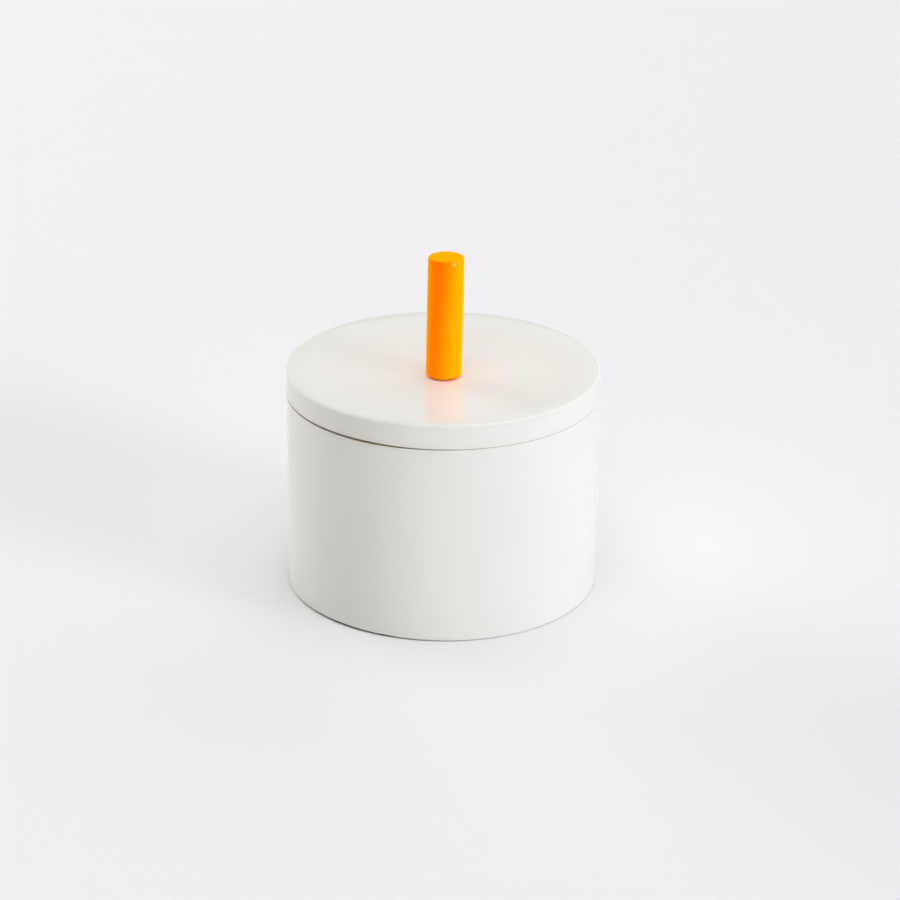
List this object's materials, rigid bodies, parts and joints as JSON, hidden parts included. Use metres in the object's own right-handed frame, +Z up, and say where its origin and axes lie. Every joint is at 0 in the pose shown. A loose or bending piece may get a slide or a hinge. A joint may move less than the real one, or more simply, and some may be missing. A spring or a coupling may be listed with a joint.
{
  "type": "lidded ceramic box",
  "caption": "Round straight-sided ceramic box with a flush lift-off lid, a locating flange under it and a lacquered dowel knob screwed on from below.",
  "frame": {"origin": "centre of the foot ring on the table, the bottom centre of the whole box", "axes": "+Z up along the common axis of body, lid and knob, the way the lid lifts; +X to the right seen from the front"},
  "size_m": [0.105, 0.105, 0.1148],
  "materials": {
    "body_glaze": "clear gloss glaze over white stoneware, slightly wavy, bare clay on the foot ring and the rim seat",
    "lid_glaze": "clear gloss glaze over white stoneware, slightly wavy, bare clay on the seat and the flange lip",
    "orange_lacquer": "dowel in bright orange satin lacquer with soft edges",
    "brown_leather": "dark brown vegetable-tanned leather disc",
    "black_rubber": "matt black rubber",
    "zinc_steel": "zinc plated, tumbled",
    "screw_steel": "zinc plated screw, bright head"
  },
  "bodies": {
    "box": {"body": "body_glaze"},
    "lid": {"lid": "lid_glaze", "knob": "orange_lacquer", "seat_washer": "brown_leather", "cushion_washer": "black_rubber", "steel_washer": "zinc_steel", "knob_screw": "screw_steel"}
  },
  "joints": [
    {"name": "lid_lift", "type": "slide", "parent": "box", "child": "lid", "axis": [0, 0, 1], "range_m": [0, 0.12]}
  ]
}
